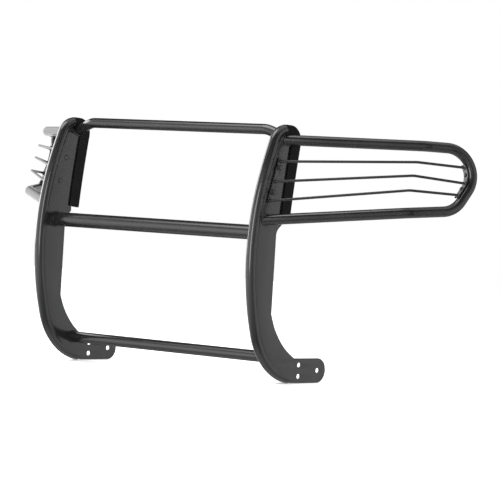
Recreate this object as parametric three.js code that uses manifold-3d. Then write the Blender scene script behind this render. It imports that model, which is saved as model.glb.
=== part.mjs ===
// Front grille guard of a pickup truck: two J-shaped uprights, three crossbars and two
// swept-back headlight loops, each loop with a bolt-on guard of three rods.
//
// Millimetres, +Z up. The guard faces -Y and its mounting tongues point to +Y. Left and right are
// the vehicle's own, so left is +X. Heights are measured from the bottom of the tongues and depths
// from a plane close to the foremost line of the uprights. At the end the whole guard is moved so
// that the origin lies under the middle of its depth.

import * as THREE from "three";
import { mergeVertices } from "three/addons/utils/BufferGeometryUtils.js";
import Module from "manifold-3d";

const wasm = await Module();
wasm.setup();

// ---------------------------------------------------------------- driving dimensions

const gap = 0.3; // clearance left between two pieces that touch or are welded together
const wall = 2.4; // wall of every round tube

const uprightSpacing = 870; // between the centre planes of the two uprights
const plateThickness = 6.35;
const plateX = uprightSpacing / 2;
const plateOutside = plateX + plateThickness / 2;
const plateInside = plateX - plateThickness / 2;

const tubeRadius = 31.75 / 2; // upright tubes, headlight loops and top crossbar
const middleRadius = 44.45 / 2; // middle crossbar
const lowerRadius = 34.925 / 2; // lower crossbar
const rodRadius = 7.94 / 2;

// centre line of an upright's front tube, from its lower end: headings are from +Z towards +Y
const frontStart = new THREE.Vector2(190.4, 14.8);
const frontStartHeading = -81.8;
const hookRadius = 196.8; // the hook under the vehicle
const hookTurn = 63;
const bowRadius = 730; // the long bow of the front
const bowTurn = 31.9;
const shoulderRadius = 1049;
const shoulderTurn = 8.1;
const shoulderStraight = 32.2;
const crownRadius = 53; // the bend over the top
const crownTurn = 58.8;
const crownStraight = 2;
const coveAngle = -15; // below this heading the plate's edge cuts into the tube
const coveDepth = 21.5; // by this much at the lower end

// rubber trim that runs over the top and down the rear edge of an upright
const trimDepth = 43;
const trimThickness = 16;
const trimEdgeRadius = 5;
const trimTopHeading = 92; // the trim levels out over the top, then runs straight to the corner
const trimTopLength = 17;
const trimCornerRadius = 48;
const trimCornerTurn = 97.5;
const trimRearLength = 230;
const trimRearTurn = 3.8;
const plateSetback = 32; // from the trim's outer edge to the plate's edge inside it

// plate outline, in the side view
const narrowRear = 98; // rear edge of the narrow lower half
const stepTop = new THREE.Vector2(122.5, 472);
const stepBottom = new THREE.Vector2(narrowRear, 452);
const heelTop = new THREE.Vector2(narrowRear, 206.3);
const heelCentre = new THREE.Vector2(313.5, 282.4); // large concave arc down to the tongue
const heelRadius = 229;
const tongueHeight = 74.5;
const tongueEndY = 330.5; // centre of the tongue's round end
const tongueStartY = 205;

// bolt slots of the tongue and the bolt holes of the rod guard
const slotHeight = 14.3;
const slotLength = 19;
const tongueSlots = [[242.5, 54], [242.5, 20], [331.5, tongueHeight / 2]];

// crossbars: centre in the side view
const topEnd = new THREE.Vector3(plateInside, 134, 729);
const topElbow = new THREE.Vector3(359, 121, 753);
const middleCentre = new THREE.Vector2(54, 444.5);
const lowerCentre = new THREE.Vector2(160, 73.7);

// headlight loops: two planes that meet at a kink line, both leaning back as they rise
const lean = 0.335; // millimetres rearwards for each millimetre up
const kinkX = 780;
const kinkY = 303; // at the height below
const kinkLevel = 600;
const frontSweep = 32.5; // degrees rearwards from +X, before the kink
const rearSweep = 61; // after it
const loopBend = 79;
const loopUpperZ = [723.3, 728]; // at the upright and at the kink
const loopLowerZ = [483.4, 528.5];
// corners of the loop's end in the rear plane, from the lower kink: along the sweep, and up the lean
const loopCorners = [[178, 200.5], [223.3, 115], [153, 13.4]];

// rod guard
const rodForward = 17; // rods lie this far in front of the loop's plane
const rodHeights = { upper: [658.2, 679.3, 672.4], middle: [597.8, 639, 627.2], lower: [540.1, 595.2, 590.5] };
const stripThickness = 4.8;
const stripWidth = 25.4;
const stripTop = new THREE.Vector2(96.9, 668);
const stripSlope = 0.315;
const stripDrop = 132;
const stripUp = 6; // how far the outer strip runs past the loop's outermost bend
const stripDown = 37;
const stripBoltZ = { upper: 640, lower: 566 };
const boltRadius = 4;
const screwRadius = 3;

// ---------------------------------------------------------------- materials

const coatedSteel = new THREE.MeshStandardMaterial({ color: 0x1b1c1e, roughness: 0.32, metalness: 0.2 });
const blackRubber = new THREE.MeshStandardMaterial({ color: 0x0b0b0c, roughness: 0.75, metalness: 0 });
const blackHardware = new THREE.MeshStandardMaterial({ color: 0x2a2b2d, roughness: 0.4, metalness: 0.6 });

// ---------------------------------------------------------------- curves and outlines

const rad = THREE.MathUtils.degToRad;

// Rail of a plane curve made of arcs and straights. Each entry has a point and a heading.
function plot(start, heading, runs) {
  const rail = [{ point: start.clone(), heading }];
  for (const [length, turn, steps] of runs) {
    for (let i = 0; i < steps; i += 1) {
      const last = rail[rail.length - 1];
      const next = last.heading + turn / steps;
      const half = rad(turn / steps / 2);
      const chord = (length / steps) * (half === 0 ? 1 : Math.sin(half) / half);
      const middle = rad((last.heading + next) / 2);
      const move = new THREE.Vector2(Math.sin(middle), Math.cos(middle)).multiplyScalar(chord);
      rail.push({ point: last.point.clone().add(move), heading: next });
    }
  }
  return rail;
}

const arc = (radius, turn, steps) => [radius * Math.abs(rad(turn)), turn, steps];
const straight = (length) => [length, 0, 1];

// Point beside a rail, on its right-hand side, and along it from the entry if need be.
function beside(entry, distance, along = 0) {
  const angle = rad(entry.heading);
  const across = new THREE.Vector2(Math.cos(angle), -Math.sin(angle)).multiplyScalar(distance);
  const ahead = new THREE.Vector2(Math.sin(angle), Math.cos(angle)).multiplyScalar(along);
  return across.add(ahead).add(entry.point);
}

// Centre of the arc that rounds a corner, given the unit directions of its two legs.
function bendCentre(corner, before, after, radius) {
  const between = Math.acos(THREE.MathUtils.clamp(before.dot(after), -1, 1));
  return before.clone().add(after).setLength(radius / Math.sin(between / 2)).add(corner);
}

// Corner points rounded by arcs. Works for Vector2 and Vector3.
function rounded(corners, radii, stepAngle) {
  const points = [];
  corners.forEach((corner, i) => {
    const radius = radii[i];
    if (!radius) {
      points.push(corner.clone());
      return;
    }
    const before = corners[(i + corners.length - 1) % corners.length].clone().sub(corner).normalize();
    const after = corners[(i + 1) % corners.length].clone().sub(corner).normalize();
    const between = Math.acos(THREE.MathUtils.clamp(before.dot(after), -1, 1));
    const turn = Math.PI - between;
    const steps = Math.max(1, Math.ceil(THREE.MathUtils.radToDeg(turn) / stepAngle));
    const centre = bendCentre(corner, before, after, radius);
    const first = before.clone().multiplyScalar(radius / Math.tan(between / 2)).add(corner).sub(centre);
    const last = after.clone().multiplyScalar(radius / Math.tan(between / 2)).add(corner).sub(centre);
    for (let k = 0; k <= steps; k += 1) {
      const part = k / steps;
      const a = Math.sin((1 - part) * turn) / Math.sin(turn);
      const b = Math.sin(part * turn) / Math.sin(turn);
      points.push(first.clone().multiplyScalar(a).add(last.clone().multiplyScalar(b)).add(centre));
    }
  });
  return points;
}

// A route through given points, so that an extrusion has its sections exactly there.
class Route extends THREE.Curve {
  constructor(points) {
    super();
    this.points = points;
  }
  getPointAt(u, target = new THREE.Vector3()) {
    const place = u * (this.points.length - 1);
    const i = Math.min(Math.floor(place + 1e-6), this.points.length - 2);
    return target.lerpVectors(this.points[i], this.points[i + 1], place - i);
  }
  getTangentAt(u, target = new THREE.Vector3()) {
    const i = Math.round(u * (this.points.length - 1));
    const before = this.points[Math.max(i - 1, 0)];
    const here = this.points[i];
    const after = this.points[Math.min(i + 1, this.points.length - 1)];
    const arriving = here.clone().sub(before).normalize();
    const leaving = after.clone().sub(here).normalize();
    return target.copy(arriving).add(leaving).normalize();
  }
}

// ---------------------------------------------------------------- solids

function solid(geometry) {
  const bare = geometry.clone();
  bare.deleteAttribute("normal");
  bare.deleteAttribute("uv");
  const merged = mergeVertices(bare, 1e-4);
  const vertProperties = new Float32Array(merged.attributes.position.array);
  const triVerts = new Uint32Array(merged.index.array);
  return new wasm.Manifold(new wasm.Mesh({ numProp: 3, vertProperties, triVerts }));
}

function surface(body) {
  const mesh = body.getMesh();
  const geometry = new THREE.BufferGeometry();
  geometry.setAttribute("position", new THREE.BufferAttribute(mesh.vertProperties, 3));
  geometry.setIndex(new THREE.BufferAttribute(mesh.triVerts, 1));
  geometry.computeVertexNormals();
  return geometry;
}

function cut(geometry, tools) {
  return surface(tools.reduce((body, tool) => body.subtract(solid(tool)), solid(geometry)));
}

function ring(radius, sides) {
  const points = [];
  for (let i = 0; i < sides; i += 1) {
    const angle = (2 * Math.PI * i) / sides;
    points.push(new THREE.Vector2(radius * Math.cos(angle), radius * Math.sin(angle)));
  }
  return points;
}

// Round bar or tube along points.
function tube(points, radius, thickness, sides) {
  const section = new THREE.Shape(ring(radius, sides));
  if (thickness) {
    section.holes.push(new THREE.Path(ring(radius - thickness, Math.round(sides * 0.6))));
  }
  const steps = points.length - 1;
  return new THREE.ExtrudeGeometry(section, { steps, extrudePath: new Route(points) });
}

function slab(xFrom, xTo, y, z) {
  const box = new THREE.BoxGeometry(xTo - xFrom, y[1] - y[0], z[1] - z[0]);
  return box.translate((xFrom + xTo) / 2, (y[0] + y[1]) / 2, (z[0] + z[1]) / 2);
}

// Side-view outline (y, z) given a thickness along X.
function sideProfile(points, xFrom, xTo, holes = [], bevel = 0) {
  const shape = new THREE.Shape(points);
  holes.forEach((hole) => shape.holes.push(new THREE.Path(hole)));
  const settings = { depth: xTo - xFrom - 2 * bevel, bevelEnabled: bevel > 0, bevelSegments: 3, steps: 1 };
  Object.assign(settings, { bevelSize: bevel, bevelThickness: bevel, bevelOffset: -bevel });
  const profile = new THREE.ExtrudeGeometry(shape, settings);
  const turn = new THREE.Matrix4().makeBasis(
    new THREE.Vector3(0, 1, 0),
    new THREE.Vector3(0, 0, 1),
    new THREE.Vector3(1, 0, 0),
  );
  return profile.applyMatrix4(turn).translate(xFrom + bevel, 0, 0);
}

function slot(centre, length, height, segments) {
  const reach = (length - height) / 2;
  const points = [];
  for (const side of [1, -1]) {
    for (let i = 0; i <= segments; i += 1) {
      const angle = Math.PI * (i / segments - 0.5) + (side < 0 ? Math.PI : 0);
      const y = centre[0] + side * reach + (height / 2) * Math.cos(angle);
      points.push(new THREE.Vector2(y, centre[1] + (height / 2) * Math.sin(angle)));
    }
  }
  return points;
}

// Turned piece with its axis along a direction, from a profile of [radius, height] pairs.
function turned(profile, sides, origin, axis) {
  const lathe = new THREE.LatheGeometry(profile.map(([r, h]) => new THREE.Vector2(r, h)), sides);
  const turn = new THREE.Quaternion().setFromUnitVectors(new THREE.Vector3(0, 1, 0), axis);
  return lathe.applyQuaternion(turn).translate(origin.x, origin.y, origin.z);
}

// Pin for cutting a round hole, centred on the origin given.
function pin(radius, length, origin, axis, sides = 12) {
  const half = length / 2;
  return turned([[0, -half], [radius, -half], [radius, half], [0, half]], sides, origin, axis);
}

const towardsX = new THREE.Vector3(1, 0, 0);

// ---------------------------------------------------------------- uprights

const frontRail = plot(frontStart, frontStartHeading, [
  arc(hookRadius, hookTurn, 12),
  arc(bowRadius, bowTurn, 9),
  arc(shoulderRadius, shoulderTurn, 3),
  straight(shoulderStraight),
  arc(crownRadius, crownTurn, 7),
  straight(crownStraight),
]);
const crownEnd = frontRail[frontRail.length - 1];

const trimRail = plot(beside(crownEnd, -tubeRadius, gap), crownEnd.heading, [
  arc(crownRadius + tubeRadius, trimTopHeading - crownEnd.heading, 1),
  straight(trimTopLength),
  arc(trimCornerRadius, trimCornerTurn, 12),
  [trimRearLength, -trimRearTurn, 4],
]);

// how far behind the tube's centre line the plate's front edge lies
function edgeDistance(heading) {
  const share = Math.max(0, (coveAngle - heading) / (coveAngle - frontStartHeading));
  return tubeRadius + gap - coveDepth * share;
}

function plateFront() {
  return frontRail.map((entry) => beside(entry, edgeDistance(entry.heading)));
}

function heelPoints() {
  const points = [];
  const steps = 12;
  const from = heelTop.clone().sub(heelCentre).angle();
  const tongueReach = Math.sqrt(heelRadius ** 2 - (heelCentre.y - tongueHeight) ** 2);
  const to = new THREE.Vector2(-tongueReach, tongueHeight - heelCentre.y).angle();
  for (let i = 0; i <= steps; i += 1) {
    const angle = from + ((to - from) * i) / steps;
    const spoke = new THREE.Vector2(Math.cos(angle), Math.sin(angle)).multiplyScalar(heelRadius);
    points.push(spoke.add(heelCentre));
  }
  return points;
}

function tongueEnd() {
  const points = [];
  const steps = 12;
  const radius = tongueHeight / 2;
  for (let i = 0; i <= steps; i += 1) {
    const angle = Math.PI * (0.5 - i / steps);
    points.push(new THREE.Vector2(tongueEndY + radius * Math.cos(angle), radius * (1 + Math.sin(angle))));
  }
  return points;
}

function plateOutline() {
  const crown = trimRail.slice(1).map((entry) => beside(entry, plateSetback));
  const heel = heelPoints();
  const step = rounded([crown[crown.length - 1], stepTop, stepBottom, heel[0]], [0, 6, 30, 0], 12).slice(1, -1);
  const notch = [[tongueStartY, 0], [tongueStartY - 5, 2.5], [tongueStartY - 14, 2.5]];
  return [
    ...plateFront(),
    ...crown,
    ...step,
    ...heel,
    ...tongueEnd(),
    ...notch.map(([y, z]) => new THREE.Vector2(y, z)),
  ];
}

const outline = plateOutline();

const boltCentre = (z) => new THREE.Vector3(plateX, stripTop.x - stripSlope * (stripTop.y - z), z);

function uprightPlate() {
  const bolts = Object.values(stripBoltZ).map((z) => {
    const centre = boltCentre(z);
    return slot([centre.y, centre.z], 2 * boltRadius + 1, 2 * boltRadius + 1, 6);
  });
  const slots = tongueSlots.map((centre) => slot(centre, slotLength, slotHeight, 8));
  return sideProfile(outline, plateInside, plateOutside, [...bolts, ...slots]);
}

function uprightTube() {
  const points = frontRail.map(({ point }) => new THREE.Vector3(plateX, point.x, point.y));
  const whole = tube(points, tubeRadius, wall, 16);
  // the tube's lower end is coped over the plate and cut level with the tongue
  const reach = 40;
  const hook = frontRail.slice(0, 15);
  const near = (entry, along) => beside(entry, edgeDistance(entry.heading) - gap, along);
  const cope = sideProfile(
    [
      near(hook[0], -10),
      ...hook.map((entry) => near(entry, 0)),
      ...hook.map((entry) => beside(entry, 2 * reach)).reverse(),
      beside(hook[0], 2 * reach, -10),
    ],
    plateX - reach,
    plateX + reach,
  );
  const level = slab(plateX - reach, plateX + reach, [0, 300], [-reach, 0]);
  return cut(whole, [cope, level]);
}

// ---------------------------------------------------------------- crossbars

function bar(centre, radius, sides) {
  const end = plateInside - gap;
  const points = [new THREE.Vector3(-end, centre.x, centre.y), new THREE.Vector3(end, centre.x, centre.y)];
  return tube(points, radius, wall, sides);
}

function topRoute(overrun) {
  const end = topEnd.clone().sub(topElbow).setLength(overrun).add(topEnd);
  const opposite = (point) => point.clone().setX(-point.x);
  return rounded([opposite(end), opposite(topElbow), topElbow, end], [0, 70, 70, 0], 5);
}

// Space taken by the top of an upright's tube. What is welded there is coped round it.
function crownSpace() {
  const rail = frontRail.slice(-9).map(({ point }) => point);
  const points = [...rail, beside(crownEnd, 0, gap)].map((p) => new THREE.Vector3(plateX, p.x, p.y));
  const sides = 16;
  return tube(points, (tubeRadius + gap) / Math.cos(Math.PI / sides), 0, sides);
}

// The top crossbar's body out to a given X, or a plain bar of another size on the same route.
function topBody(end, radius, thickness) {
  const beyond = 60;
  const ends = [
    slab(end, end + beyond, [0, 300], [600, 900]),
    slab(-end - beyond, -end, [0, 300], [600, 900]),
  ];
  return cut(tube(topRoute(12), radius, thickness, 20), ends);
}

function topCrossbar() {
  const whole = topBody(plateInside - gap, tubeRadius, wall);
  return cut(whole, [crownSpace(), mirrored(crownSpace())]);
}

// ---------------------------------------------------------------- headlight loop

const onKink = (z, forward = 0) => new THREE.Vector3(kinkX, kinkY - forward + lean * (z - kinkLevel), z);

function atUpright(x, z, forward = 0) {
  const place = onKink(z, forward);
  place.y -= Math.tan(rad(frontSweep)) * (kinkX - x);
  place.x = x;
  return place;
}

// frame of the loop's rear plane: along the sweep, up the lean, and square to both
const lowerKink = onKink(loopLowerZ[1]);
const sweepAxis = new THREE.Vector3(Math.cos(rad(rearSweep)), Math.sin(rad(rearSweep)), 0);
const leanAxis = new THREE.Vector3(0, lean, 1);
leanAxis.addScaledVector(sweepAxis, -leanAxis.dot(sweepAxis)).normalize();
const squareAxis = sweepAxis.clone().cross(leanAxis);
const rearFrame = new THREE.Matrix4().makeBasis(sweepAxis, leanAxis, squareAxis).setPosition(lowerKink);

const inRearPlane = ([a, b], w = 0) => new THREE.Vector3(a, b, w).applyMatrix4(rearFrame);

function loopRoute(overrun) {
  const x = plateOutside - overrun;
  const rise = (heights) => (heights[1] - heights[0]) / (kinkX - plateOutside);
  const upper = atUpright(x, loopUpperZ[0] - rise(loopUpperZ) * overrun);
  const lower = atUpright(x, loopLowerZ[0] - rise(loopLowerZ) * overrun);
  const corners = [upper, onKink(loopUpperZ[1]), ...loopCorners.map((c) => inRearPlane(c)), lowerKink, lower];
  return rounded(corners, [0, loopBend, loopBend, loopBend, loopBend, loopBend, 0], 10);
}

// the outermost bend of the loop, in the rear plane, with its two legs
const [upperCorner, endCorner, lowerCorner] = loopCorners.map(([a, b]) => new THREE.Vector2(a, b));
const upLeg = upperCorner.clone().sub(endCorner).normalize();
const downLeg = lowerCorner.clone().sub(endCorner).normalize();
const endCentre = bendCentre(endCorner, upLeg, downLeg, loopBend);
const endArc = [Math.atan2(-upLeg.x, upLeg.y), Math.atan2(downLeg.x, -downLeg.y)];

const spoke = (angle) => new THREE.Vector2(Math.cos(angle), Math.sin(angle));

// place inside the loop's centre line by a distance, and on down the lower leg by a drop
function aroundEnd(angle, inside, drop = 0) {
  return spoke(angle).multiplyScalar(loopBend - inside).add(endCentre).addScaledVector(downLeg, drop);
}

function screwAxis({ angle }) {
  const outward = spoke(angle);
  return new THREE.Vector3(outward.x, outward.y, 0).transformDirection(rearFrame).negate();
}

function screwSeat({ angle, drop }) {
  const seat = aroundEnd(angle, tubeRadius + gap + stripThickness, drop);
  return inRearPlane([seat.x, seat.y]);
}

const loopScrews = { upper: { angle: rad(3), drop: 0 }, lower: { angle: endArc[1], drop: 7 } };

// The loop's body from a given X outwards, or a plain bar of another size on the same route.
function loopBody(start, radius, thickness) {
  const flush = slab(start - 120, start, [-100, 300], [400, 800]);
  return cut(tube(loopRoute(30), radius, thickness, 16), [flush]);
}

function headlightLoop() {
  const whole = loopBody(plateOutside + gap, tubeRadius, wall);
  const holes = Object.values(loopScrews).map((screw) => {
    const inner = screwSeat(screw).addScaledVector(screwAxis(screw), -12);
    return pin(screwRadius + 0.5, 20, inner, screwAxis(screw));
  });
  return cut(whole, [crownSpace(), ...holes]);
}

// ---------------------------------------------------------------- rod guard

// Band round the inside of the loop's end, between two distances from the centre line, with
// straight runs up and down from the bend.
function endBand(nearTube, farFromTube, up, down) {
  const steps = 8;
  const [from, to] = endArc;
  const side = (inside) => {
    const points = [aroundEnd(from, inside).addScaledVector(upLeg, up)];
    for (let i = 0; i <= steps; i += 1) {
      points.push(aroundEnd(from + ((to - from) * i) / steps, inside));
    }
    points.push(aroundEnd(to, inside, down));
    return points;
  };
  return [...side(nearTube), ...side(farFromTube).reverse()];
}

function inEndFrame(points, from, to) {
  const shape = new THREE.Shape(points);
  const band = new THREE.ExtrudeGeometry(shape, { depth: to - from, bevelEnabled: false });
  return band.translate(0, 0, from).applyMatrix4(rearFrame);
}

function outerStrip() {
  const near = tubeRadius + gap;
  const section = endBand(near, near + stripThickness, stripUp, stripDown);
  const band = inEndFrame(section, -stripWidth / 2, stripWidth / 2);
  const holes = Object.values(loopScrews).map((screw) => {
    return pin(screwRadius + 0.5, 20, screwSeat(screw), screwAxis(screw));
  });
  return cut(band, holes);
}

function innerStrip() {
  const half = stripWidth / 2 / Math.cos(Math.atan(stripSlope));
  const shift = stripSlope * stripDrop;
  const corners = [
    new THREE.Vector2(stripTop.x - half, stripTop.y),
    new THREE.Vector2(stripTop.x + half, stripTop.y),
    new THREE.Vector2(stripTop.x + half - shift, stripTop.y - stripDrop),
    new THREE.Vector2(stripTop.x - half - shift, stripTop.y - stripDrop),
  ];
  const holes = Object.values(stripBoltZ).map((z) => {
    const centre = boltCentre(z);
    return slot([centre.y, centre.z], 2 * boltRadius + 1, 2 * boltRadius + 1, 6);
  });
  const from = plateOutside + gap;
  return sideProfile(rounded(corners, [4, 4, 4, 4], 45), from, from + stripThickness, holes);
}

const stripFace = plateOutside + gap + stripThickness;

function guardRod([atPlate, atKink, atEnd]) {
  const start = atUpright(stripFace - 12, atPlate - (12 * (atKink - atPlate)) / (kinkX - stripFace), rodForward);
  const length = 200;
  const run = 150;
  const end = onKink(atKink, rodForward).addScaledVector(sweepAxis, length);
  end.z += ((atEnd - atKink) * length) / run;
  end.y += (lean * (atEnd - atKink) * length) / run;
  const whole = tube(rounded([start, onKink(atKink, rodForward), end], [0, 30, 0], 8), rodRadius, 0, 10);
  const flush = slab(stripFace - 60, stripFace + gap, [-100, 300], [400, 800]);
  const near = tubeRadius + stripThickness + 2 * gap;
  const beyond = inEndFrame(endBand(near - 90, near, 90, 90), -60, 60);
  return cut(whole, [flush, beyond]);
}

// ---------------------------------------------------------------- fasteners

// Domed bolt: its head bears on the plate's inner face, its shank comes out through the strip.
function stripBolt(z) {
  const shank = plateThickness + gap + stripThickness + gap + 10;
  const profile = [[0, -4.6], [3.5, -4.4], [6.2, -3.2], [8, -1.2], [8.5, 0], [boltRadius, 0]];
  const origin = boltCentre(z).setX(plateInside - gap);
  return turned([...profile, [boltRadius, shank], [0, shank]], 12, origin, towardsX);
}

// Flanged hexagon nut.
function stripNut(z) {
  const seat = boltCentre(z).setX(stripFace + gap);
  const flange = turned([[0, 0], [8.5, 0], [8.5, 1.6], [0, 1.6]], 18, seat, towardsX);
  const hexagon = turned([[0, 1], [7.5, 1], [7.5, 8], [0, 8]], 6, seat, towardsX);
  const bore = pin(boltRadius + 0.5, 30, seat, towardsX);
  return surface(solid(flange).add(solid(hexagon)).subtract(solid(bore)));
}

// Domed screw that holds the outer strip to the loop.
function loopScrew(screw) {
  const shank = stripThickness + 10;
  const profile = [[0, 4.1], [3, 3.9], [5.4, 2.6], [6.5, 0.8], [6.5, 0], [screwRadius, 0]];
  const points = [...profile, [screwRadius, -shank], [0, -shank]].reverse();
  const axis = screwAxis(screw);
  return turned(points, 12, screwSeat(screw).addScaledVector(axis, gap + 0.45), axis);
}

// ---------------------------------------------------------------- edge trim

function edgeTrim() {
  const half = trimThickness / 2;
  const outer = trimRail.map((entry) => entry.point);
  const inner = trimRail.map((entry) => beside(entry, trimDepth)).reverse();
  const whole = sideProfile([...outer, ...inner], plateX - half, plateX + half, [], trimEdgeRadius);
  // the slot that grips the plate's edge, run out past both ends
  const slotFloor = plateSetback - gap;
  const first = trimRail[0];
  const last = trimRail[trimRail.length - 1];
  const mouth = [
    beside(first, slotFloor, -3),
    ...trimRail.map((entry) => beside(entry, slotFloor)),
    beside(last, slotFloor, 3),
    beside(last, 60, 3),
    beside(first, 60, -3),
  ];
  const slotHalf = plateThickness / 2 + gap;
  const grip = sideProfile(mouth, plateX - slotHalf, plateX + slotHalf);
  // clearance round the two tubes that are welded to the plate under the trim
  const clearance = tubeRadius + 1;
  return cut(whole, [grip, topBody(plateInside, clearance, 0), loopBody(plateOutside, clearance, 0)]);
}

// ---------------------------------------------------------------- assembly

const guard = new THREE.Group();

function place(name, geometry, material) {
  const mesh = new THREE.Mesh(geometry, material);
  mesh.name = name;
  guard.add(mesh);
}

// The other side of the vehicle: the same piece mirrored, with its faces still pointing out.
function mirrored(geometry) {
  const copy = geometry.clone().applyMatrix4(new THREE.Matrix4().makeScale(-1, 1, 1));
  const merged = mergeVertices(copy.deleteAttribute("normal").deleteAttribute("uv"), 1e-4);
  const index = merged.index.array;
  for (let i = 0; i < index.length; i += 3) {
    [index[i], index[i + 1]] = [index[i + 1], index[i]];
  }
  merged.computeVertexNormals();
  return merged;
}

function placePair(name, geometry, material) {
  place(`${name}_left`, geometry, material);
  place(`${name}_right`, mirrored(geometry), material);
}

place("top_crossbar", topCrossbar(), coatedSteel);
place("middle_crossbar", bar(middleCentre, middleRadius, 24), coatedSteel);
place("lower_crossbar", bar(lowerCentre, lowerRadius, 20), coatedSteel);
placePair("upright_plate", uprightPlate(), coatedSteel);
placePair("upright_tube", uprightTube(), coatedSteel);
placePair("edge_trim", edgeTrim(), blackRubber);
placePair("headlight_loop", headlightLoop(), coatedSteel);
placePair("inner_strip", innerStrip(), coatedSteel);
placePair("outer_strip", outerStrip(), coatedSteel);
for (const [level, heights] of Object.entries(rodHeights)) {
  placePair(`guard_rod_${level}`, guardRod(heights), coatedSteel);
}
for (const [level, z] of Object.entries(stripBoltZ)) {
  placePair(`strip_bolt_${level}`, stripBolt(z), blackHardware);
  placePair(`strip_nut_${level}`, stripNut(z), blackHardware);
}
for (const [level, screw] of Object.entries(loopScrews)) {
  placePair(`loop_screw_${level}`, loopScrew(screw), blackHardware);
}

const extent = new THREE.Box3().setFromObject(guard);
guard.position.y = -(extent.min.y + extent.max.y) / 2;

export default guard;
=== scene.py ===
"""Front grille guard, looks. Metres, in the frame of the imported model: +X vehicle's left, -Y front, +Z up."""

import math

import bpy
import bmesh
from mathutils import Matrix, Vector


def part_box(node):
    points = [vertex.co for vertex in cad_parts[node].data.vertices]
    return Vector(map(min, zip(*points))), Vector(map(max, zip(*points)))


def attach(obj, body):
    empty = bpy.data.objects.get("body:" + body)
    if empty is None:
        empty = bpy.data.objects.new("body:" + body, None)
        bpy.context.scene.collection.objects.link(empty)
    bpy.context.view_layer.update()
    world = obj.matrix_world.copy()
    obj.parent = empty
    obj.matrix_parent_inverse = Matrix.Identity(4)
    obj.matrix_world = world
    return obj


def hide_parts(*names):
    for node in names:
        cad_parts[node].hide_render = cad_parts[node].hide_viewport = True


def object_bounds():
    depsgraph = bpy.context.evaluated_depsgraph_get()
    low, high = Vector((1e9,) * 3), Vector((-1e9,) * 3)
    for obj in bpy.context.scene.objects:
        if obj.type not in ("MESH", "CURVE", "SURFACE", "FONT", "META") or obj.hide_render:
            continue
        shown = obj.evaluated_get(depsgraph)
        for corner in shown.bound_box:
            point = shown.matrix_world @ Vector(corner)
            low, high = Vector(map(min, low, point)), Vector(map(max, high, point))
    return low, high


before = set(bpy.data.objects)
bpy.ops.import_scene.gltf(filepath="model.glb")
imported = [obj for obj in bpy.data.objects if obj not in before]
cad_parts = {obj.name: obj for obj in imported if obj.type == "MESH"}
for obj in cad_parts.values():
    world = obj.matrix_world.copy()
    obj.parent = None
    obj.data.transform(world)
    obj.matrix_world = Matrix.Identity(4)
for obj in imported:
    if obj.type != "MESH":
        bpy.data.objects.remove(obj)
cad_low, cad_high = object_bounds()

MM = 0.001


# ---------------------------------------------------------------- the frame's datum and dimensions


def centre_of(node):
    low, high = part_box(node)
    return (Vector(low) + Vector(high)) / 2


DATUM_Y = centre_of("middle_crossbar").y - 54 * MM  # depths below are measured from this plane

GAP = 0.3
PLATE_X = 435.0
PLATE_HALF = 6.35 / 2
PLATE_OUT = PLATE_X + PLATE_HALF
PLATE_IN = PLATE_X - PLATE_HALF
TUBE_R = 31.75 / 2
MIDDLE_R = 44.45 / 2
LOWER_R = 34.925 / 2
ROD_R = 7.94 / 2

# centres of the straight crossbars, and the end and elbow of the top one
MIDDLE_CENTRE = (54.0, 444.5)
LOWER_CENTRE = (160.0, 73.7)
TOP_END = Vector((PLATE_X, 133.4, 727.9))
TOP_ELBOW = Vector((359, 121, 753))
TOP_BEND = 70.0

# centre line of the upright's front tube: its start, and the radius and turn of each bend from there
FRONT_START = (190.4, 14.8)
FRONT_HEADING = -81.8
HOOK = (196.8, 63)
BOW = (730, 31.9)
SHOULDER = (1049, 8.1)
SHOULDER_STRAIGHT = 32.2
CROWN = (53, 58.8)
CROWN_STRAIGHT = 2.0
COVE_ANGLE = -15.0  # below this heading the plate's edge cuts into the tube
COVE_DEPTH = 21.5  # by this much at the lower end

# rubber trim over the top and down the rear edge
TRIM_HALF = 8.0
TRIM_DEPTH = 43.0
TRIM_CORNER = 5.0  # rounding of its outer edges
TRIM_LIP = 1.2
TRIM_TOP_HEADING = 92.0
TRIM_TOP_LENGTH = 17.0
TRIM_BEND = (48, 97.5)
TRIM_REAR = (230, -3.8)  # length and turn
PLATE_SETBACK = 32.0  # from the trim's outer edge to the plate's edge inside it

# lower half of the plate
STEP_TOP = (122.5, 472)
STEP_BOTTOM = (98, 452)
HEEL_TOP = (98, 206.3)
HEEL_CENTRE = (313.5, 282.4)
HEEL_R = 229.0
TONGUE_HEIGHT = 74.5
TONGUE_END_Y = 330.5
TONGUE_NOTCH = [(205, 0), (200, 2.5), (191, 2.5)]
TONGUE_SLOTS = [(242.5, 54), (242.5, 20), (331.5, TONGUE_HEIGHT / 2)]
SLOT_LENGTH = 19.0
SLOT_HEIGHT = 14.3

LEAN = 0.335
KINK = (780.0, 303.0, 600.0)
FRONT_SWEEP = math.radians(32.5)
REAR_SWEEP = math.radians(61)
LOOP_BEND = 79.0
LOOP_UPPER_Z = (723.3, 728.0)
LOOP_LOWER_Z = (483.4, 528.5)
LOOP_CORNERS = [(178, 200.5), (223.3, 115), (153, 13.4)]
ROD_FORWARD = 17.0
ROD_HEIGHTS = {
    "upper": (658.2, 679.3, 672.4),
    "middle": (597.8, 639.0, 627.2),
    "lower": (540.1, 595.2, 590.5),
}
STRIP_T = 4.8
STRIP_W = 25.4
STRIP_TOP = (96.9, 668.0)
STRIP_SLOPE = 0.315
STRIP_DROP = 132.0
STRIP_BOLTS = {"upper": 640.0, "lower": 566.0}
BOLT_HOLE = 9.0
BOLT_R = 4.0
BOLT_HEAD = (8.5, 4.6)  # radius and height
SCREW_R = 3.0
SCREW_HEAD = (6.5, 4.1)
STRIP_UP, STRIP_DOWN = 6.0, 37.0
STRIP_FACE = PLATE_OUT + GAP + STRIP_T


# ---------------------------------------------------------------- plane curves


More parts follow.
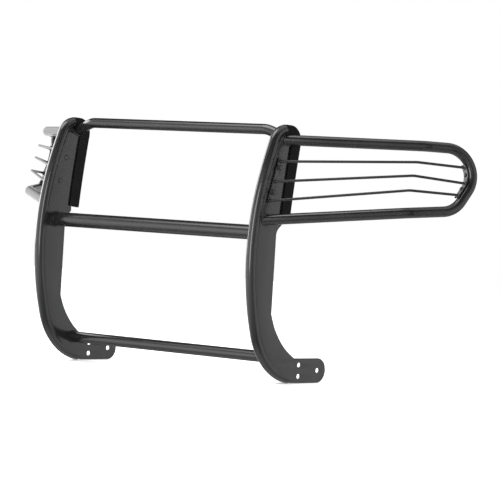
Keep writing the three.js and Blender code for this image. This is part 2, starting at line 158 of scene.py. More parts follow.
def plot(start, heading, runs):
    """Stations (y, z, heading) along arcs and straights. Headings are from +Z towards +Y, in degrees."""
    rail = [(start[0], start[1], heading)]
    for length, turn, steps in runs:
        for _ in range(steps):
            y, z, before = rail[-1]
            after = before + turn / steps
            half = math.radians(turn / steps / 2)
            chord = length / steps * (math.sin(half) / half if half else 1)
            middle = math.radians((before + after) / 2)
            rail.append((y + chord * math.sin(middle), z + chord * math.cos(middle), after))
    return rail


def arc(radius, turn, steps):
    return (radius * abs(math.radians(turn)), turn, steps)


def beside(station, distance, along=0.0):
    y, z, heading = station
    a = math.radians(heading)
    ahead, across = (math.sin(a), math.cos(a)), (math.cos(a), -math.sin(a))
    return (
        y + distance * across[0] + along * ahead[0],
        z + distance * across[1] + along * ahead[1],
    )


def rounded(corners, radii, step):
    """Corner points with arcs of the radii given, a point every step degrees. 2-D or 3-D."""
    corners = [Vector(c) for c in corners]
    points = []
    for i, corner in enumerate(corners):
        radius = radii[i]
        if not radius:
            points.append(corner.copy())
            continue
        before = (corners[i - 1] - corner).normalized()
        after = (corners[(i + 1) % len(corners)] - corner).normalized()
        between = before.angle(after)
        turn = math.pi - between
        steps = max(1, math.ceil(math.degrees(turn) / step))
        centre = corner + (before + after).normalized() * (radius / math.sin(between / 2))
        reach = radius / math.tan(between / 2)
        first = corner + before * reach - centre
        last = corner + after * reach - centre
        for k in range(steps + 1):
            t = k / steps
            a = math.sin((1 - t) * turn) / math.sin(turn)
            b = math.sin(t * turn) / math.sin(turn)
            points.append(centre + first * a + last * b)
    return points


# ---------------------------------------------------------------- meshes


def add_object(name, bm, material, smooth_angle=40):
    mesh = bpy.data.meshes.new(name)
    bmesh.ops.recalc_face_normals(bm, faces=bm.faces)
    bm.to_mesh(mesh)
    bm.free()
    mesh.transform(Matrix.Translation((0, DATUM_Y, 0)) @ Matrix.Scale(MM, 4))
    mesh.shade_smooth()
    mesh.set_sharp_from_angle(angle=math.radians(smooth_angle))
    mesh.materials.append(material)
    piece = bpy.data.objects.new(name, mesh)
    bpy.context.scene.collection.objects.link(piece)
    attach(piece, "root")
    return piece


def mirrored(bm):
    copy = bm.copy()
    bmesh.ops.scale(copy, vec=(-1, 1, 1), verts=copy.verts)
    return copy


def skin(bm, rings, closed_ring=True, caps=True, closed_path=False):
    """Quads between rings of points."""
    loops = [[bm.verts.new(p) for p in ring] for ring in rings]
    count = len(loops[0])
    pairs = list(zip(loops, loops[1:])) + ([(loops[-1], loops[0])] if closed_path else [])
    for a, b in pairs:
        for i in range(count if closed_ring else count - 1):
            j = (i + 1) % count
            bm.faces.new((a[i], a[j], b[j], b[i]))
    if caps and not closed_path:
        bm.faces.new(list(reversed(loops[0])))
        bm.faces.new(loops[-1])
    return loops


def frames_along(points, closed=False):
    """Tangent and two normals at each point, without twist."""
    count = len(points)
    tangents = []
    for i in range(count):
        before = points[i - 1] if (i > 0 or closed) else points[0]
        after = points[(i + 1) % count] if (i < count - 1 or closed) else points[-1]
        arriving = (points[i] - before).normalized() if (points[i] - before).length > 1e-9 else None
        leaving = (after - points[i]).normalized() if (after - points[i]).length > 1e-9 else None
        tangents.append(((arriving or leaving) + (leaving or arriving)).normalized())
    side = tangents[0].orthogonal().normalized()
    frames = []
    for i, t in enumerate(tangents):
        if i:
            side = tangents[i - 1].rotation_difference(t) @ side
        side = (side - t * side.dot(t)).normalized()
        frames.append((t, side, t.cross(side)))
    return frames


def sweep_circle(points, radius, sides, start_x=None, end_x=None):
    """A round bar through points. Its ends can be cut on planes of constant X."""
    points = [Vector(p) for p in points]
    rings = []
    frames = frames_along(points)
    for k, (p, (t, u, v)) in enumerate(zip(points, frames)):
        ring = []
        cut_at = start_x if k == 0 else end_x if k == len(points) - 1 else None
        for i in range(sides):
            a = 2 * math.pi * i / sides
            q = p + (u * math.cos(a) + v * math.sin(a)) * radius
            if cut_at is not None:
                q = q + t * ((cut_at - q.x) / t.x)
            ring.append(q)
        rings.append(ring)
    bm = bmesh.new()
    skin(bm, rings)
    return bm


def along(points, spacing, closed=False):
    """Points at an even spacing along a path."""
    points = [Vector(p) for p in points]
    if closed:
        points.append(points[0])
    lengths = [0.0]
    for a, b in zip(points, points[1:]):
        lengths.append(lengths[-1] + (b - a).length)
    count = max(3, round(lengths[-1] / spacing))
    made, k = [], 0
    for i in range(count if closed else count + 1):
        s = min(lengths[-1] * i / count, lengths[-1] - 1e-6)
        while lengths[k + 1] < s:
            k += 1
        made.append(points[k].lerp(points[k + 1], (s - lengths[k]) / (lengths[k + 1] - lengths[k])))
    return made


def add_bead(bm, path, radius, closed=True, ripple=0.14, pitch=3.4):
    """A weld bead along a path, laid in overlapping ripples."""
    points = along(path, 1.0, closed)
    rings = []
    for i, (p, (_, u, v)) in enumerate(zip(points, frames_along(points, closed))):
        wave = abs(math.sin(math.pi * i / pitch)) + 0.25 * math.sin(i * 0.37)
        r = radius * (1 - ripple + ripple * 1.6 * wave)
        angles = [math.pi * k / 4 for k in range(8)]
        rings.append([p + (u * math.cos(a) + v * math.sin(a)) * r for a in angles])
    skin(bm, rings, closed_path=closed)


def foot_of(point, axis, radius, x, sides=64):
    """Where a round bar through a point meets the plane at X."""
    point, axis = Vector(point), Vector(axis).normalized()
    u = axis.orthogonal().normalized()
    v = axis.cross(u)
    path = []
    for i in range(sides):
        a = 2 * math.pi * i / sides
        q = point + (u * math.cos(a) + v * math.sin(a)) * radius
        path.append(q + axis * ((x - q.x) / axis.x))
    return path


def pair(name, bm, material, **kwargs):
    """A piece on the vehicle's left and its mirror image on the right."""
    other = mirrored(bm)
    return [
        add_object(f"{name}_left", bm, material, **kwargs),
        add_object(f"{name}_right", other, material, **kwargs),
    ]


# ---------------------------------------------------------------- materials


def new_material(name):
    material = bpy.data.materials.new(name)
    material.use_nodes = True
    nodes, links = material.node_tree.nodes, material.node_tree.links
    shader = nodes["Principled BSDF"]
    coordinates = nodes.new("ShaderNodeTexCoord")
    return material, nodes, links, shader, coordinates.outputs["Object"]


def noise(nodes, links, vector, scale, detail=2.0, roughness=0.5):
    node = nodes.new("ShaderNodeTexNoise")
    node.inputs["Scale"].default_value = scale
    node.inputs["Detail"].default_value = detail
    node.inputs["Roughness"].default_value = roughness
    links.new(vector, node.inputs["Vector"])
    return node.outputs["Fac"]


def ramp(nodes, links, value, stops):
    node = nodes.new("ShaderNodeValToRGB")
    elements = node.color_ramp.elements
    while len(elements) < len(stops):
        elements.new(0.5)
    for element, (position, colour) in zip(elements, stops):
        element.position = position
        element.color = (*colour, 1) if len(colour) == 3 else colour
    links.new(value, node.inputs["Fac"])
    return node.outputs["Color"]


def to_range(nodes, links, value, low, high):
    node = nodes.new("ShaderNodeMapRange")
    node.inputs["To Min"].default_value = low
    node.inputs["To Max"].default_value = high
    links.new(value, node.inputs["Value"])
    return node.outputs["Result"]


def bump(nodes, links, height, strength, distance, below=None):
    node = nodes.new("ShaderNodeBump")
    node.inputs["Strength"].default_value = strength
    node.inputs["Distance"].default_value = distance
    links.new(height, node.inputs["Height"])
    if below is not None:
        links.new(below, node.inputs["Normal"])
    return node.outputs["Normal"]


def powder_coat():
    """Glossy black powder coat: faint orange peel, slow drifts in tone and gloss, fine specks."""
    material, nodes, links, shader, place = new_material("black_powder_coat")
    drift = noise(nodes, links, place, 9, 3)
    specks = noise(nodes, links, place, 900, 1)
    peel = noise(nodes, links, place, 380, 2, 0.45)
    tone = ramp(nodes, links, drift, [(0.3, (0.0085, 0.0085, 0.0092)), (0.7, (0.0135, 0.0135, 0.0142))])
    links.new(tone, shader.inputs["Base Color"])
    links.new(to_range(nodes, links, drift, 0.12, 0.19), shader.inputs["Roughness"])
    fine = bump(nodes, links, specks, 0.03, 0.0001)
    links.new(bump(nodes, links, peel, 0.06, 0.0003, fine), shader.inputs["Normal"])
    return material


def rubber():
    """Matte black extruded rubber with a fine grain."""
    material, nodes, links, shader, place = new_material("black_rubber_trim")
    drift = noise(nodes, links, place, 22, 4)
    grain = noise(nodes, links, place, 1400, 2)
    tone = ramp(nodes, links, drift, [(0.3, (0.0028, 0.0028, 0.0029)), (0.75, (0.0052, 0.0052, 0.0053))])
    links.new(tone, shader.inputs["Base Color"])
    links.new(to_range(nodes, links, drift, 0.55, 0.68), shader.inputs["Roughness"])
    shader.inputs["Specular IOR Level"].default_value = 0.12
    links.new(bump(nodes, links, grain, 0.25, 0.0002), shader.inputs["Normal"])
    return material


def hardware():
    """Black zinc fasteners, more metallic than the coat and a little less glossy."""
    material, nodes, links, shader, place = new_material("black_zinc_hardware")
    drift = noise(nodes, links, place, 160, 3)
    tone = ramp(nodes, links, drift, [(0.3, (0.04, 0.04, 0.043)), (0.7, (0.075, 0.075, 0.08))])
    links.new(tone, shader.inputs["Base Color"])
    shader.inputs["Metallic"].default_value = 0.6
    links.new(to_range(nodes, links, drift, 0.25, 0.42), shader.inputs["Roughness"])
    links.new(bump(nodes, links, drift, 0.08, 0.0002), shader.inputs["Normal"])
    return material


COAT = powder_coat()
RUBBER = rubber()
HARDWARE = hardware()


# ---------------------------------------------------------------- uprights

FINE = 4  # how many times finer than the frame's own steps

front_rail = plot(
    FRONT_START,
    FRONT_HEADING,
    [
        arc(*HOOK, 12 * FINE),
        arc(*BOW, 9 * FINE),
        arc(*SHOULDER, 3 * FINE),
        (SHOULDER_STRAIGHT, 0, 4),
        arc(*CROWN, 7 * FINE),
        (CROWN_STRAIGHT, 0, 1),
    ],
)
crown_end = front_rail[-1]
trim_rail = plot(
    beside(crown_end, -TUBE_R, GAP),
    crown_end[2],
    [
        arc(CROWN[0] + TUBE_R, TRIM_TOP_HEADING - crown_end[2], 3 * FINE),
        (TRIM_TOP_LENGTH, 0, 3),
        arc(*TRIM_BEND, 12 * FINE),
        (*TRIM_REAR, 4 * FINE),
    ],
)


def edge_distance(heading):
    """How far behind the tube's centre line the plate's front edge lies."""
    share = max(0.0, (COVE_ANGLE - heading) / (COVE_ANGLE - FRONT_HEADING))
    return TUBE_R + GAP - COVE_DEPTH * share


def arc_points(centre, radius, start, stop, steps):
    points = []
    for i in range(steps + 1):
        a = start + (stop - start) * i / steps
        points.append((centre[0] + radius * math.cos(a), centre[1] + radius * math.sin(a)))
    return points


def heel_points():
    """The large concave arc from the narrow part down to the tongue."""
    y, z = HEEL_CENTRE
    drop = TONGUE_HEIGHT - z
    start = math.atan2(HEEL_TOP[1] - z, HEEL_TOP[0] - y) % (2 * math.pi)
    stop = math.atan2(drop, -math.sqrt(HEEL_R**2 - drop**2)) % (2 * math.pi)
    return arc_points(HEEL_CENTRE, HEEL_R, start, stop, 48)


def plate_outline():
    points = [beside(s, edge_distance(s[2])) for s in front_rail]
    points += [beside(s, PLATE_SETBACK) for s in trim_rail[1:]]
    heel = heel_points()
    step = rounded([points[-1], STEP_TOP, STEP_BOTTOM, heel[0]], [0, 6, 30, 0], 4)[1:-1]
    half = TONGUE_HEIGHT / 2
    tongue_end = arc_points((TONGUE_END_Y, half), half, math.pi / 2, -math.pi / 2, 40)
    return points + [tuple(p) for p in step] + heel + tongue_end + TONGUE_NOTCH


def slot_outline(y, z, length, height, segments=16):
    reach = (length - height) / 2
    points = []
    for side in (1, -1):
        for i in range(segments + 1):
            a = math.pi * (i / segments - 0.5) + (math.pi if side < 0 else 0)
            points.append((y + side * reach + height / 2 * math.cos(a), z + height / 2 * math.sin(a)))
    return points


def bolt_centre(z):
    return (STRIP_TOP[0] - STRIP_SLOPE * (STRIP_TOP[1] - z), z)


def bolt_holes():
    return [slot_outline(*bolt_centre(z), BOLT_HOLE, BOLT_HOLE) for z in STRIP_BOLTS.values()]


def cut_plate(name, outline, holes, x_from, x_to, bevel, material):
    """A flat plate in a plane of constant X with holes and softened edges, on both sides."""
    curve = bpy.data.curves.new(name, "CURVE")
    curve.dimensions = "2D"
    curve.fill_mode = "BOTH"
    curve.extrude = (x_to - x_from) / 2 - bevel
    curve.bevel_depth = bevel
    curve.bevel_resolution = 2
    curve.offset = -bevel
    for loop in [outline, *holes]:
        spline = curve.splines.new("POLY")
        spline.points.add(len(loop) - 1)
        for point, (y, z) in zip(spline.points, loop):
            point.co = (y, z, 0, 1)
        spline.use_cyclic_u = True
    holder = bpy.data.objects.new(name, curve)
    bpy.context.scene.collection.objects.link(holder)
    made = bpy.data.meshes.new_from_object(holder.evaluated_get(bpy.context.evaluated_depsgraph_get()))
    bpy.data.objects.remove(holder)
    turn = Matrix(((0, 0, 1, (x_from + x_to) / 2), (1, 0, 0, 0), (0, 1, 0, 0), (0, 0, 0, 1)))
    made.transform(turn)
    bm = bmesh.new()
    bm.from_mesh(made)
    bpy.data.meshes.remove(made)
    bmesh.ops.remove_doubles(bm, verts=bm.verts, dist=1e-3)
    return pair(name, bm, material, smooth_angle=50)


def build_plates():
    slots = [slot_outline(y, z, SLOT_LENGTH, SLOT_HEIGHT) for y, z in TONGUE_SLOTS]
    holes = slots + bolt_holes()
    return cut_plate("upright_plate_skin", plate_outline(), holes, PLATE_IN, PLATE_OUT, 0.6, COAT)


def build_upright_tubes():
    """The front tube. Towards its lower end it is cut along the plate's edge and level with the ground."""
    sides = 40
    rings = []
    for station in front_rail:
        limit = edge_distance(station[2]) - GAP
        ring = []
        for i in range(sides):
            a = 2 * math.pi * i / sides
            u = min(TUBE_R * math.cos(a), limit)
            y, z = beside(station, u)
            x = PLATE_X + TUBE_R * math.sin(a)
            ring.append((x, y, max(z, 0.0)))
        rings.append(ring)
    bm = bmesh.new()
    skin(bm, rings)
    # the fillet weld between the tube and each face of the plate
    for side in (-1, 1):
        seam = []
        for station in front_rail[2:-2]:
            u = min(15.6, edge_distance(station[2])) + 0.7
            y, z = beside(station, u)
            seam.append((PLATE_X + side * (PLATE_HALF + 0.5), y, max(z, 2.5)))
        add_bead(bm, seam, 2.0, closed=False, ripple=0.06, pitch=4.4)
    return pair("upright_tube_skin", bm, COAT)


def build_trims():
    """The rubber trim: a deep U section over the plate's edge, its outer corners well rounded."""
    half, corner, lip = TRIM_HALF, TRIM_CORNER, TRIM_LIP
    inner = TRIM_DEPTH
    slot_half = PLATE_HALF + GAP
    slot_floor = PLATE_SETBACK - GAP
    flank = [(-half + lip, inner), (-half, inner - lip)]
    for i in range(9):
        a = math.pi / 2 * i / 8
        flank.append((-half + corner - corner * math.cos(a), corner - corner * math.sin(a)))
    section = [(slot_half, inner - lip), (slot_half, slot_floor), (-slot_half, slot_floor)]
    section += [(-slot_half, inner - lip), (-slot_half - lip * 0.6, inner)]
    section += flank + [(-x, d) for x, d in reversed(flank)]
    section += [(slot_half + lip * 0.6, inner)]
    rings = []
    for station in trim_rail:
        rings.append([(PLATE_X + x, *beside(station, d)) for x, d in section])
    bm = bmesh.new()
    skin(bm, rings)
    return pair("edge_trim_skin", bm, RUBBER)


# ---------------------------------------------------------------- crossbars and loops


def on_kink(z, forward=0.0):
    return Vector((KINK[0], KINK[1] - forward + LEAN * (z - KINK[2]), z))


def at_upright(x, z, forward=0.0):
    p = on_kink(z, forward)
    p.y -= math.tan(FRONT_SWEEP) * (KINK[0] - x)
    p.x = x
    return p


lower_kink = on_kink(LOOP_LOWER_Z[1])
sweep_axis = Vector((math.cos(REAR_SWEEP), math.sin(REAR_SWEEP), 0))
lean_axis = Vector((0, LEAN, 1))
lean_axis = (lean_axis - sweep_axis * lean_axis.dot(sweep_axis)).normalized()
square_axis = sweep_axis.cross(lean_axis)


def in_rear_plane(a, b, w=0.0):
    return lower_kink + sweep_axis * a + lean_axis * b + square_axis * w


def loop_route():
    x = PLATE_X

    def height(pair_):
        return pair_[0] - (pair_[1] - pair_[0]) / (KINK[0] - PLATE_OUT) * PLATE_HALF

    corners = [at_upright(x, height(LOOP_UPPER_Z)), on_kink(LOOP_UPPER_Z[1])]
    corners += [in_rear_plane(a, b) for a, b in LOOP_CORNERS]
    corners += [lower_kink, at_upright(x, height(LOOP_LOWER_Z))]
    return rounded(corners, [0] + [LOOP_BEND] * 5 + [0], 2.5)


def top_route():
    def flip(p):
        return Vector((-p.x, p.y, p.z))

    return rounded([flip(TOP_END), flip(TOP_ELBOW), TOP_ELBOW, TOP_END], [0, TOP_BEND, TOP_BEND, 0], 2.5)


def straight_bar(centre, radius, sides, bead):
    y, z = centre
    bm = sweep_circle([(-PLATE_X, y, z), (PLATE_X, y, z)], radius, sides)
    for side in (-1, 1):
        add_bead(bm, foot_of((0, y, z), (1, 0, 0), radius + 0.8, side * (PLATE_IN - 0.6)), bead)
    return bm


def build_bars():
    route = top_route()
    top = sweep_circle(route, TUBE_R, 48, -PLATE_X, PLATE_X)
    for side, end, before in ((-1, route[0], route[1]), (1, route[-1], route[-2])):
        add_bead(top, foot_of(end, end - before, TUBE_R + 0.6, side * (PLATE_IN - 0.6)), 2.4)
    return [
        add_object("top_crossbar_skin", top, COAT),
        add_object("middle_crossbar_skin", straight_bar(MIDDLE_CENTRE, MIDDLE_R, 56, 2.6), COAT),
        add_object("lower_crossbar_skin", straight_bar(LOWER_CENTRE, LOWER_R, 48, 2.4), COAT),
    ]


def build_loops():
    route = loop_route()
    bm = sweep_circle(route, TUBE_R, 48, PLATE_X, PLATE_X)
    for end, before in ((route[0], route[1]), (route[-1], route[-2])):
        add_bead(bm, foot_of(end, end - before, TUBE_R + 0.8, PLATE_OUT + 0.6), 2.4)
    return pair("headlight_loop_skin", bm, COAT)


# ---------------------------------------------------------------- rod guards


def unit(a, b):
    return Vector((b[0] - a[0], b[1] - a[1])).normalized()


up_leg = unit(LOOP_CORNERS[1], LOOP_CORNERS[0])
down_leg = unit(LOOP_CORNERS[1], LOOP_CORNERS[2])
half_between = up_leg.angle(down_leg) / 2
end_centre = Vector(LOOP_CORNERS[1]) + (up_leg + down_leg).normalized() * (LOOP_BEND / math.sin(half_between))
END_ARC = (math.atan2(-up_leg.x, up_leg.y), math.atan2(down_leg.x, -down_leg.y))


def around_end(angle, inside, drop=0.0):
    spoke = Vector((math.cos(angle), math.sin(angle)))
    return end_centre + spoke * (LOOP_BEND - inside) + down_leg * drop


def end_path(inside, up, down, steps=24):
    start, stop = END_ARC
    points = [around_end(start, inside) + up_leg * up]
    points += [around_end(start + (stop - start) * i / steps, inside) for i in range(steps + 1)]
    points.append(around_end(stop, inside, down))
    return points


def build_outer_strips():
    near = TUBE_R + GAP
    outer = end_path(near, STRIP_UP, STRIP_DOWN)
    inner = end_path(near + STRIP_T, STRIP_UP, STRIP_DOWN)
    half, edge = STRIP_W / 2, 0.8
    rings = []
    for o, i in zip(outer, inner):
        across = (i - o).normalized() * edge
        ring = []
        for p, w in (
            (o, half - edge), (o + across, half), (i - across, half), (i, half - edge),
            (i, -half + edge), (i - across, -half), (o + across, -half), (o, -half + edge),
        ):
            ring.append(in_rear_plane(p.x, p.y, w))
        rings.append(ring)
    bm = bmesh.new()
    skin(bm, rings)
    return pair("outer_strip_skin", bm, COAT, smooth_angle=30)


def build_inner_strips():
    half = STRIP_W / 2 / math.cos(math.atan(STRIP_SLOPE))
    shift = STRIP_SLOPE * STRIP_DROP
    y, z = STRIP_TOP
    foot_y, foot_z = y - shift, z - STRIP_DROP
    corners = [(y - half, z), (y + half, z), (foot_y + half, foot_z), (foot_y - half, foot_z)]
    outline = [tuple(p) for p in rounded(corners, [4] * 4, 10)]
    start = PLATE_OUT + GAP
    return cut_plate("inner_strip_skin", outline, bolt_holes(), start, start + STRIP_T, 0.5, COAT)


def rod_route(heights):
    at_plate, at_kink, at_end = heights
    start = at_upright(STRIP_FACE, at_plate, ROD_FORWARD)
    kink = on_kink(at_kink, ROD_FORWARD)
    rise = (at_end - at_kink) / 150
    direction = sweep_axis + Vector((0, LEAN * rise, rise))
    # the rod stops where it meets the strip's inner face
    inside = TUBE_R + GAP + STRIP_T
    length = 100.0
    while length < 220:
        q = kink + direction * length - lower_kink
        a, b = q.dot(sweep_axis), q.dot(lean_axis)
        spoke = Vector((a, b)) - end_centre
        angle = math.atan2(spoke.y, spoke.x)
        if angle < END_ARC[1]:
            normal = Vector((math.cos(END_ARC[1]), math.sin(END_ARC[1])))
            reached = spoke.dot(normal)
        elif angle > END_ARC[0]:
            normal = Vector((math.cos(END_ARC[0]), math.sin(END_ARC[0])))
            reached = spoke.dot(normal)
        else:
            reached = spoke.length
        if reached >= LOOP_BEND - inside + 1.0:
            break
        length += 0.5
    return rounded([start, kink, kink + direction * length], [0, 30, 0], 3)


def build_rods():
    made = {}
    for level, heights in ROD_HEIGHTS.items():
        route = rod_route(heights)
        bm = sweep_circle(route, ROD_R, 24, STRIP_FACE - 1.0, None)
        foot = foot_of(route[0], route[1] - route[0], ROD_R + 0.7, STRIP_FACE + 0.4, 24)
        add_bead(bm, foot, 1.5, pitch=2.6)
        tip, outward = route[-1], (route[-1] - route[-2]).normalized()
        u = outward.orthogonal().normalized()
        v = outward.cross(u)
        seat = tip - outward * 2.4
        angles = [k / 4 for k in range(25)]
        ring = [seat + (u * math.cos(a) + v * math.sin(a)) * (ROD_R + 0.9) for a in angles]
        add_bead(bm, ring, 1.9, pitch=2.6)
        made[level] = pair(f"guard_rod_{level}_skin", bm, COAT)
    return made


# ---------------------------------------------------------------- fasteners


def lathe(profile, sides, origin, axis):
    """A turned piece. The profile's (radius, height) pairs start and end on the axis."""
    axis = Vector(axis).normalized()
    u = axis.orthogonal().normalized()
    v = axis.cross(u)
    origin = Vector(origin)
    bm = bmesh.new()
    rings = []
    for r, h in profile[1:-1]:
        ring = []
        for i in range(sides):
            a = 2 * math.pi * i / sides
            ring.append(origin + axis * h + (u * math.cos(a) + v * math.sin(a)) * r)
        rings.append(ring)
    loops = skin(bm, rings, caps=False)
    for loop, (_, h) in ((loops[0], profile[0]), (loops[-1], profile[-1])):
        tip = bm.verts.new(origin + axis * h)
        for i in range(sides):
            bm.faces.new((loop[i], loop[(i + 1) % sides], tip))
    return bm


def dome(radius, height, steps=8):
    angles = [math.pi / 2 * i / steps for i in range(1, steps + 1)]
    return [(radius * math.sin(a), height * math.cos(a)) for a in angles]


def build_strip_bolts():
    made = {}
    for level, z in STRIP_BOLTS.items():
        y, z = bolt_centre(z)
        shank = 2 * PLATE_HALF + GAP + STRIP_T + GAP + 10
        head = [(0, -BOLT_HEAD[1])] + [(r, -h) for r, h in dome(*BOLT_HEAD)]
        end = [(BOLT_R, 0), (BOLT_R, shank - 1), (BOLT_R - 0.8, shank), (0, shank)]
        bm = lathe(head + end, 40, (PLATE_IN - GAP, y, z), (1, 0, 0))
        made[level] = pair(f"strip_bolt_{level}_skin", bm, HARDWARE, smooth_angle=35)
    return made


def build_strip_nuts():
    """Flanged hexagon nuts with chamfered corners."""
    made = {}
    for level, z in STRIP_BOLTS.items():
        y, z = bolt_centre(z)
        bm = bmesh.new()
        x0 = STRIP_FACE + GAP
        sides = 48

        def hexagon(a, across):
            sector = (a + math.pi / 6) % (math.pi / 3) - math.pi / 6
            return across / math.cos(sector)

        heights = [
            (0, lambda a: 4.3), (0, lambda a: 8.5), (1.2, lambda a: 8.5), (1.9, lambda a: 7.9),
            (2.2, lambda a: hexagon(a, 6.5)), (7.3, lambda a: hexagon(a, 6.5)),
            (8.0, lambda a: min(hexagon(a, 6.5), 6.6)), (8.0, lambda a: 4.8), (7.4, lambda a: 4.3),
        ]
        rings = []
        for h, radius in heights:
            ring = []
            for i in range(sides):
                a = 2 * math.pi * i / sides
                ring.append((x0 + h, y + radius(a) * math.cos(a), z + radius(a) * math.sin(a)))
            rings.append(ring)
        skin(bm, rings, closed_path=True)
        made[level] = pair(f"strip_nut_{level}_skin", bm, HARDWARE, smooth_angle=25)
    return made


def build_loop_screws():
    made = {}
    for level, (angle, drop) in {"upper": (math.radians(3), 0.0), "lower": (END_ARC[1], 7.0)}.items():
        seat = around_end(angle, TUBE_R + GAP + STRIP_T, drop)
        outward = sweep_axis * math.cos(angle) + lean_axis * math.sin(angle)
        origin = in_rear_plane(seat.x, seat.y) - outward * (GAP + 0.45)
        head = [(0, SCREW_HEAD[1])] + dome(*SCREW_HEAD)
        shank = -STRIP_T - 10
        bm = lathe(head + [(SCREW_R, 0), (SCREW_R, shank), (0, shank)], 32, origin, -outward)
        made[level] = pair(f"loop_screw_{level}_skin", bm, HARDWARE, smooth_angle=35)
    return made


# ---------------------------------------------------------------- build and hand over

plates = build_plates()
tubes = build_upright_tubes()
trims = build_trims()
bars = build_bars()
loops = build_loops()
outer_strips = build_outer_strips()
inner_strips = build_inner_strips()
rods = build_rods()
bolts = build_strip_bolts()
nuts = build_strip_nuts()
screws = build_loop_screws()


def stand_for(pieces, node):
    """Each piece takes the place of the CAD node on its own side."""
    for piece, side in zip(pieces, ("left", "right")):
        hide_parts(f"{node}_{side}")


for piece, node in zip(bars, ("top_crossbar", "middle_crossbar", "lower_crossbar")):
    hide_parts(node)
stand_for(plates, "upright_plate")
stand_for(tubes, "upright_tube")
stand_for(trims, "edge_trim")
stand_for(loops, "headlight_loop")
stand_for(outer_strips, "outer_strip")
stand_for(inner_strips, "inner_strip")
for level, made in rods.items():
    stand_for(made, f"guard_rod_{level}")
for level, made in bolts.items():
    stand_for(made, f"strip_bolt_{level}")
for level, made in nuts.items():
    stand_for(made, f"strip_nut_{level}")
for level, made in screws.items():
    stand_for(made, f"loop_screw_{level}")


# ---------------------------------------------------------------- stage, light and camera


def stage_mesh(name, bm, material, hidden=False):
    mesh = bpy.data.meshes.new(name)
    bm.to_mesh(mesh)
    bm.free()
    mesh.materials.append(material)
    piece = bpy.data.objects.new(name, mesh)
    bpy.context.scene.collection.objects.link(piece)
    piece.visible_camera = not hidden
    piece.visible_shadow = not hidden
    return piece


def stage_floor():
    bm = bmesh.new()
    bmesh.ops.create_circle(bm, cap_ends=True, segments=96, radius=11)
    material = bpy.data.materials.new("pale_floor")
    material.use_nodes = True
    shader = material.node_tree.nodes["Principled BSDF"]
    shader.inputs["Base Color"].default_value = (0.93, 0.93, 0.93, 1)
    shader.inputs["Roughness"].default_value = 0.9
    shader.inputs["Specular IOR Level"].default_value = 0.0
    floor = stage_mesh("floor", bm, material)
    floor.location.z = cad_low.z - 0.0005
    floor.visible_glossy = False


def direction(azimuth, elevation):
    a, e = math.radians(azimuth), math.radians(elevation)
    return Vector((math.cos(a) * math.cos(e), math.sin(a) * math.cos(e), math.sin(e)))


def light_dome(base, lobes):
    """A dome of soft light round the stage. Each lobe is an azimuth and elevation, the angle out to which
    it is full, the angle at which it ends, and its strength."""
    bm = bmesh.new()
    bmesh.ops.create_uvsphere(bm, u_segments=48, v_segments=24, radius=12)
    material = bpy.data.materials.new("studio_light")
    material.use_nodes = True
    nodes, links = material.node_tree.nodes, material.node_tree.links
    nodes.clear()
    output = nodes.new("ShaderNodeOutputMaterial")
    emission = nodes.new("ShaderNodeEmission")
    place = nodes.new("ShaderNodeTexCoord").outputs["Object"]
    unit_place = nodes.new("ShaderNodeVectorMath")
    unit_place.operation = "NORMALIZE"
    links.new(place, unit_place.inputs[0])
    total = None
    for azimuth, elevation, inner, outer, strength in lobes:
        dot = nodes.new("ShaderNodeVectorMath")
        dot.operation = "DOT_PRODUCT"
        dot.inputs[1].default_value = direction(azimuth, elevation)
        links.new(unit_place.outputs[0], dot.inputs[0])
        fall = nodes.new("ShaderNodeMapRange")
        fall.interpolation_type = "SMOOTHSTEP"
        fall.inputs["From Min"].default_value = math.cos(math.radians(outer))
        fall.inputs["From Max"].default_value = math.cos(math.radians(inner))
        fall.inputs["To Max"].default_value = strength
        links.new(dot.outputs["Value"], fall.inputs["Value"])
        add = nodes.new("ShaderNodeMath")
        add.operation = "ADD"
        add.inputs[1].default_value = base
        links.new(fall.outputs["Result"], add.inputs[0])
        if total is not None:
            links.new(total, add.inputs[1])
        total = add.outputs[0]
    links.new(total, emission.inputs["Strength"])
    links.new(emission.outputs[0], output.inputs["Surface"])
    stage_mesh("light_dome", bm, material, hidden=True)


def area_light(name, location, target, size, power, size_y=None):
    data = bpy.data.lights.new(name, "AREA")
    data.energy = power
    data.shape = "RECTANGLE"
    data.size = size
    data.size_y = size_y or size
    lamp = bpy.data.objects.new(name, data)
    lamp.location = location
    lamp.rotation_mode = "QUATERNION"
    lamp.rotation_quaternion = (Vector(target) - Vector(location)).to_track_quat("-Z", "Y")
    lamp.visible_camera = False
    bpy.context.scene.collection.objects.link(lamp)
    return lamp


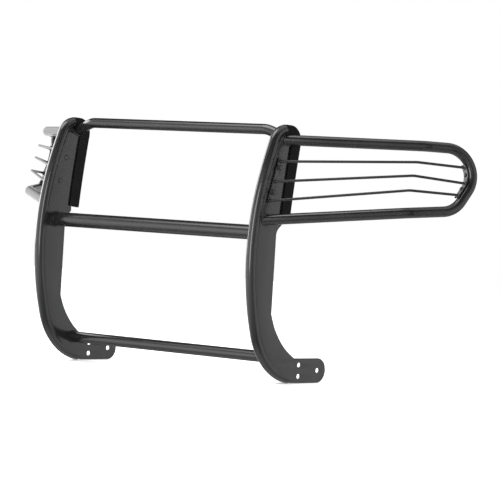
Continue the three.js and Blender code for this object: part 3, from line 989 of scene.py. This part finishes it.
def studio():
    world = bpy.data.worlds.new("studio")
    world.use_nodes = True
    world.node_tree.nodes["Background"].inputs["Color"].default_value = (1, 1, 1, 1)
    world.node_tree.nodes["Background"].inputs["Strength"].default_value = 1.0
    bpy.context.scene.world = world
    light_dome(
        0.03,
        [
            (-150, 0, 14, 42, 1.6),
            (-100, 0, 14, 42, 1.6),
            (-50, 0, 12, 40, 0.8),
            (30, 0, 20, 50, 1.1),
            (118, 0, 14, 32, 1.0),
            (168, 0, 16, 36, 1.35),
            (-130, 62, 11, 29, 6.0),
            (60, 75, 15, 40, 1.2),
            (0, -90, 30, 62, 0.9),
        ],
    )
    area_light("side_box", (-2.0, -0.3, 1.0), (-0.45, -0.1, 0.5), 1.2, 28, 1.4)
    area_light("front_box", (0.9, -2.2, 0.8), (0.45, -0.2, 0.45), 0.8, 22, 1.5)
    fill = bpy.data.lights.new("floor_fill", "SUN")
    fill.energy = 3.2
    fill.angle = math.radians(80)
    lamp = bpy.data.objects.new("floor_fill", fill)
    lamp.visible_glossy = False
    bpy.context.scene.collection.objects.link(lamp)


def make_camera():
    azimuth, elevation, roll = (math.radians(v) for v in (40.288, 0.934, 3.430))
    back = Vector(
        (
            math.sin(azimuth) * math.cos(elevation),
            -math.cos(azimuth) * math.cos(elevation),
            math.sin(elevation),
        )
    )
    right = Vector((math.cos(azimuth), math.sin(azimuth), 0))
    up = back.cross(right)
    image_right = right * math.cos(roll) + up * math.sin(roll)
    image_up = -right * math.sin(roll) + up * math.cos(roll)
    data = bpy.data.cameras.new("photo_camera")
    data.lens = 198.42
    data.sensor_width = 36
    data.clip_start, data.clip_end = 0.1, 200
    camera = bpy.data.objects.new("photo_camera", data)
    camera.rotation_mode = "QUATERNION"
    camera.rotation_quaternion = Matrix((image_right, image_up, back)).transposed().to_quaternion()
    camera.location = (5.65005, -6.1662 + DATUM_Y, 0.5245)
    bpy.context.scene.collection.objects.link(camera)
    bpy.context.scene.camera = camera


stage_floor()
studio()
make_camera()
bpy.context.scene.view_settings.view_transform = "Standard"
